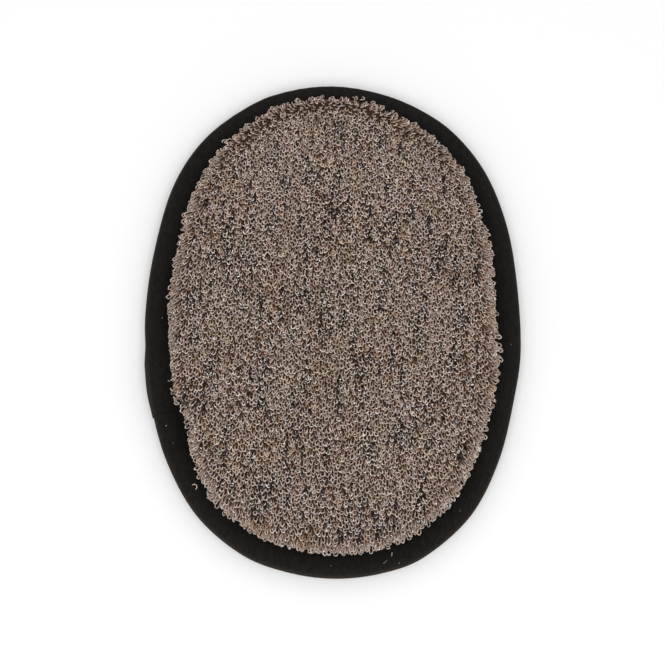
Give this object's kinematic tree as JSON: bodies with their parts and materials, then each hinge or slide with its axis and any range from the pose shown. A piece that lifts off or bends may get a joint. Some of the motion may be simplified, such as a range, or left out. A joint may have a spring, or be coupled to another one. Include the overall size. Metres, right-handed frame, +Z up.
{
  "type": "looped bath pad",
  "caption": "Oval padded bath pad with a looped sisal face, a bound edge and an elastic hand strap across the back.",
  "frame": {"origin": "centre of the pad's outline, at the underside of the hand strap that it lies on", "axes": "+Y along the pad's length, +X across it, +Z up out of the looped face"},
  "size_m": [0.127, 0.17, 0.0177],
  "materials": {
    "sisal_loops": "wiry looped sisal and cotton yarn, taupe and grey",
    "foam": "soft open foam, hidden inside",
    "back_cloth": "plain woven taupe cotton",
    "binding": "near-black cotton twill tape",
    "strap_webbing": "near-black ribbed elastic webbing"
  },
  "bodies": {
    "strap": {"hand_strap": "strap_webbing"},
    "pad": {"loop_pile_cloth": "sisal_loops", "foam_core": "foam", "back_cloth": "back_cloth", "binding_tape": "binding"}
  },
  "joints": [
    {"name": "strap_opening", "type": "slide", "parent": "strap", "child": "pad", "axis": [0, 0, 1], "range_m": [0, 0.03], "stiffness_N_per_m": 150, "deforming": ["hand_strap"]}
  ]
}
